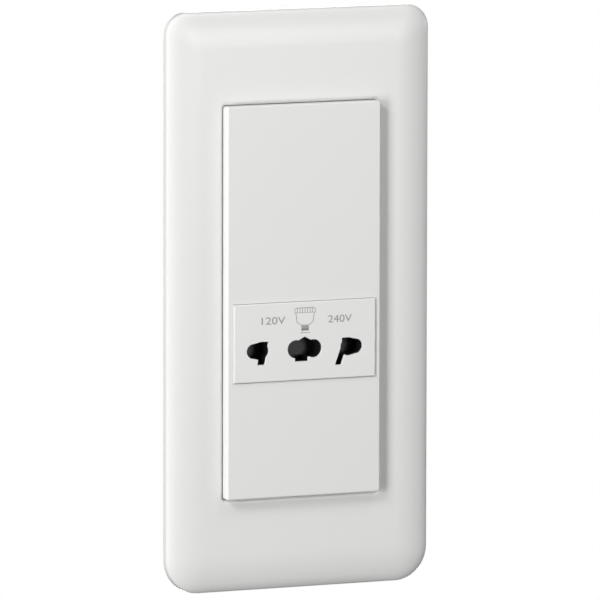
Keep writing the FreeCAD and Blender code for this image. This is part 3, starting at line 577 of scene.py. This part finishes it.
pick(core_sheet(0, 1), core_sheet(1, -1))
bpy.ops.object.join()
sheet_steel = drawn_metal("core_sheet", (0.12, 0.12, 0.13), roughness=0.45, streaks=along_z)
settle("core_stack", sheet_steel, "unit", "core_steel", "transformer_core")
nylon = moulded_plastic("bobbin_nylon", (0.74, 0.70, 0.58), roughness=0.40, grain=0.02)
soften("coil_bobbin", nylon, "unit", "bobbin_plastic", 0.12 * MM)
along_turns = (1, 0.2, 0.2)
copper = drawn_metal("enamelled_copper", (0.62, 0.24, 0.10), roughness=0.22, streaks=along_turns)
winding_corner = 2.5 * MM
corner_steps = 8
turn_facets = 2


def wound(node, name, wire_r):
    """A winding: its packed inner layers, and the turns of the outer layer side by side."""
    low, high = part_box(node)
    middle = (low + high) / 2
    layers = merged_copy(node, name)
    modify(layers, "DISPLACE", strength=-wire_r, mid_level=0)
    count = int((high.x - low.x) / (2 * wire_r))
    pitch = (high.x - low.x) / count
    corner = winding_corner - wire_r
    deselect()
    bpy.ops.mesh.primitive_plane_add(size=1, rotation=(0, math.pi / 2, 0),
                                     location=(low.x + pitch / 2, middle.y, middle.z))
    turn = bpy.context.view_layer.objects.active
    turn.scale = (high.z - low.z - 2 * wire_r, high.y - low.y - 2 * wire_r, 1)
    bpy.ops.object.transform_apply(location=True, rotation=True, scale=True)
    bpy.ops.object.mode_set(mode="EDIT")
    bpy.ops.mesh.select_all(action="SELECT")
    bpy.ops.mesh.bevel(offset=corner, segments=corner_steps, affect="VERTICES")
    bpy.ops.mesh.select_all(action="SELECT")
    bpy.ops.mesh.delete(type="ONLY_FACE")
    bpy.ops.object.mode_set(mode="OBJECT")
    bpy.ops.object.convert(target="CURVE")
    turn.data.bevel_depth = pitch / 2
    turn.data.bevel_resolution = turn_facets
    bpy.ops.object.convert(target="MESH")
    modify(turn, "ARRAY", count=count, use_relative_offset=False, use_constant_offset=True,
           constant_offset_displace=(pitch, 0, 0))
    pick(layers, turn)
    bpy.ops.object.join()
    bpy.ops.object.shade_smooth_by_angle(angle=sharp_angle)
    settle(name, copper, "unit", "winding_copper", node)


wound("primary_winding", "primary_turns", 0.2 * MM)
wound("secondary_winding", "secondary_turns", 0.25 * MM)
soften("core_straps", zinc, "unit", "zinc_steel", 0.1 * MM)
lacquer = drawn_metal("lacquered_case", (0.10, 0.10, 0.11), roughness=0.35, streaks=along_z)
finish_node("thermal_cutout", lacquer)


# Terminals
# Three milled brass cages in a white moulded block. Each has a slotted, zinc-plated screw that is
# turned from behind and clamps a supply wire.
block_plastic = moulded_plastic("block_plastic", (0.72, 0.72, 0.70), roughness=0.45, grain=0.03)
soften("terminal_block", block_plastic, "unit", "housing_white", 0.15 * MM)
soften("terminal_cages", brass, "unit", "terminal_brass", 0.12 * MM)
clamp_low, clamp_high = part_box("terminal_screws")
clamp_middle = (clamp_low + clamp_high) / 2
clamp_head_r = (clamp_high.z - clamp_low.z) / 2
clamp_head_height = 1.8 * MM
clamp_shank_r = 1.7 * MM
clamp_pitch = 0.6 * MM
clamp_slot = 0.9 * MM
neutral_x, earth_x, live_x = clamp_low.x + clamp_head_r, clamp_middle.x, clamp_high.x - clamp_head_r
clamp_screw = screw(clamp_shank_r, clamp_pitch, clamp_low.y, clamp_high.y - clamp_head_height,
                    clamp_head_r, clamp_high.y, [(slot_share * clamp_head_r, clamp_slot, clamp_slot)])
copies(clamp_screw, [(x, clamp_middle.z) for x in (neutral_x, earth_x, live_x)])
settle("clamping_screws", zinc, "unit", "zinc_steel", "terminal_screws")


# Internal leads
# Seven short wires in coloured insulation, soldered at the switch, the forks and the windings, and
# clamped in the terminals.
supply_brown = (0.16, 0.06, 0.025)
insulation = {
    "lead_right": (0.45, 0.02, 0.02),
    "lead_common": (0.015, 0.015, 0.015),
    "lead_left": (0.72, 0.72, 0.70),
    "lead_live": supply_brown,
    "lead_neutral": (0.02, 0.08, 0.34),
    "lead_switched": supply_brown,
    "lead_cutout": supply_brown,
}
for lead, colour in insulation.items():
    finish_node(lead, moulded_plastic(lead + "_insulation", colour, roughness=0.38, grain=0.02))


# Rear housing
# A deep off-white box over the transformer, moulded in a matt plastic, with vents and wire holes in
# its back. Four sunk cross-head screws hold it to the front housing, and the terminals' signs are
# printed above their holes.
housing_plastic = moulded_plastic("housing_plastic", (0.66, 0.66, 0.64), roughness=0.55, grain=0.05)
soften("rear_housing", housing_plastic, "unit", "housing_white", 0.15 * MM)
back_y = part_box("rear_housing")[1].y
letter_height = 2.4 * MM
letter_z = clamp_high.z + 2.9 * MM
live_width = 1.3 * MM
neutral_width = 1.8 * MM
print_words("mark_live", "L", (live_x, back_y, letter_z), letter_height, live_width,
            "housing_white", turn=math.pi)
print_words("mark_neutral", "N", (neutral_x, back_y, letter_z), letter_height, neutral_width,
            "housing_white", turn=math.pi)
earth_half = 1.2
earth_step = 0.55
earth_bars = 3
x, top = earth_x / MM, letter_z / MM
bars = [ink_stroke([(x, top), (x, top + earth_half)], stroke_width, back_y)]
for i in range(earth_bars):
    half = earth_half * (1 - i / earth_bars)
    z = top - i * earth_step
    bars.append(ink_stroke([(x - half, z), (x + half, z)], stroke_width, back_y))
pick(*bars)
bpy.ops.object.join()
settle("mark_earth", ink, "unit", "housing_white")

low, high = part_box("housing_screws")
sunk_head_r = 2.7 * MM
sunk_head_height = 1.9 * MM
sunk_shank_r = 1.45 * MM
sunk_pitch = 1.1 * MM
cross_length, cross_width, cross_depth = 3.0 * MM, 0.7 * MM, 1.1 * MM
cross = [(cross_length, cross_width, cross_depth), (cross_width, cross_length, cross_depth)]
housing_screw = screw(sunk_shank_r, sunk_pitch, low.y, high.y - sunk_head_height,
                      sunk_head_r, high.y, cross)
copies(housing_screw, [(x, z) for x in (low.x + sunk_head_r, high.x - sunk_head_r)
                       for z in (low.z + sunk_head_r, high.z - sunk_head_r)])
settle("sunk_screws", zinc, "unit", "zinc_steel", "housing_screws")


# Cover plate
# The tall white plate is one glossy injection moulding with softly domed edges. Catches on its
# inner ribs snap behind the support frame, and nothing shows from the front.
plate_plastic = moulded_plastic("plate_plastic", face_white, roughness=0.30, grain=0.006, flow=0.006)
finish_node("cover_plate", plate_plastic)


# Studio
# A white room for the background. Three soft lights on the left, one above the other, throw the
# dark strip beside the face. Weaker ones stand in front, on the right, above and behind, and a
# faint glow fills the rest.
room_radius = 5.0
room_height = 4.0
room_floor = -0.55
room_sides = 96
deselect()
bpy.ops.mesh.primitive_cylinder_add(vertices=room_sides, radius=room_radius, depth=room_height,
                                    location=(0, 0, room_floor + room_height / 2))
room = bpy.context.view_layer.objects.active
room.name = "studio_room"
bpy.ops.object.transform_apply(location=True, rotation=True, scale=True)
bpy.ops.object.mode_set(mode="EDIT")
bpy.ops.mesh.select_all(action="SELECT")
bpy.ops.mesh.flip_normals()
bpy.ops.object.mode_set(mode="OBJECT")
room_paint = bpy.data.materials.new("studio_white")
room_paint.use_nodes = True
room_shader = room_paint.node_tree.nodes["Principled BSDF"]
room_shader.inputs["Base Color"].default_value = (0.0, 0.0, 0.0, 1)
room_shader.inputs["Specular IOR Level"].default_value = 0.0
room_shader.inputs["Emission Color"].default_value = (1, 1, 1, 1)
room_shader.inputs["Emission Strength"].default_value = 1.0
room.data.materials.append(room_paint)
room.visible_diffuse = False
room.visible_glossy = False
light_distance = 1.6
light_size = 0.42


def direction(azimuth, elevation):
    """Away from the object, from the front at azimuth 0 and from its right at 90 degrees."""
    return Vector((math.sin(azimuth) * math.cos(elevation), -math.cos(azimuth) * math.cos(elevation),
                   math.sin(elevation)))


def soft_light(name, azimuth, elevation, power, size=light_size, shine=True):
    """A square light that faces the object from an azimuth and an elevation in degrees.

    Without shine it lights the pieces, but none of them mirrors it.
    """
    place = light_distance * direction(math.radians(azimuth), math.radians(elevation))
    data = bpy.data.lights.new(name, "AREA")
    data.size = size
    data.energy = power
    light = bpy.data.objects.new(name, data)
    light.location = place
    light.rotation_euler = place.to_track_quat("Z", "Y").to_euler()
    light.visible_camera = False
    light.visible_glossy = shine
    bpy.context.scene.collection.objects.link(light)


soft_light("left_light_low", azimuth=-60, elevation=-15, power=8.3, shine=False)
soft_light("left_light", azimuth=-60, elevation=5, power=10.3, shine=False)
soft_light("left_light_high", azimuth=-60, elevation=35, power=12.3, shine=False)
soft_light("front_fill", azimuth=20, elevation=5, power=4.4)
soft_light("right_fill", azimuth=80, elevation=5, power=3.8)
soft_light("top_light", azimuth=35, elevation=62, power=4.2)
soft_light("back_light", azimuth=160, elevation=-5, power=24, size=0.80)

room_glow = 0.123
world = bpy.data.worlds.new("soft_room")
world.use_nodes = True
world.node_tree.nodes["Background"].inputs["Color"].default_value = (1, 1, 1, 1)
world.node_tree.nodes["Background"].inputs["Strength"].default_value = room_glow
bpy.context.scene.world = world
bpy.context.scene.view_settings.view_transform = "Standard"


# Camera
# The photograph was taken from the left and a little above, from almost three metres, through a
# long lens.
view_azimuth = math.radians(-24.85)
view_elevation = math.radians(6.74)
view_roll = math.radians(0.11)
view_distance = 2.833
focal_pixels = 9930
frame_pixels = 600
middle_x, middle_y = 294.5, 298.0
film_width = 36
away = direction(view_azimuth, view_elevation)
level = Vector((0, 0, 1)).cross(away).normalized()
plumb = away.cross(level)
right = math.cos(view_roll) * level + math.sin(view_roll) * plumb
up = math.cos(view_roll) * plumb - math.sin(view_roll) * level
pixel = view_distance / focal_pixels
aim = right * (frame_pixels / 2 - middle_x) * pixel - up * (frame_pixels / 2 - middle_y) * pixel
camera_data = bpy.data.cameras.new("camera")
camera_data.sensor_width = film_width
camera_data.lens = film_width * focal_pixels / frame_pixels
camera = bpy.data.objects.new("camera", camera_data)
facing = Matrix((right, up, away)).transposed().to_4x4()
camera.matrix_world = Matrix.Translation(away * view_distance + aim) @ facing
bpy.context.scene.collection.objects.link(camera)
bpy.context.scene.camera = camera
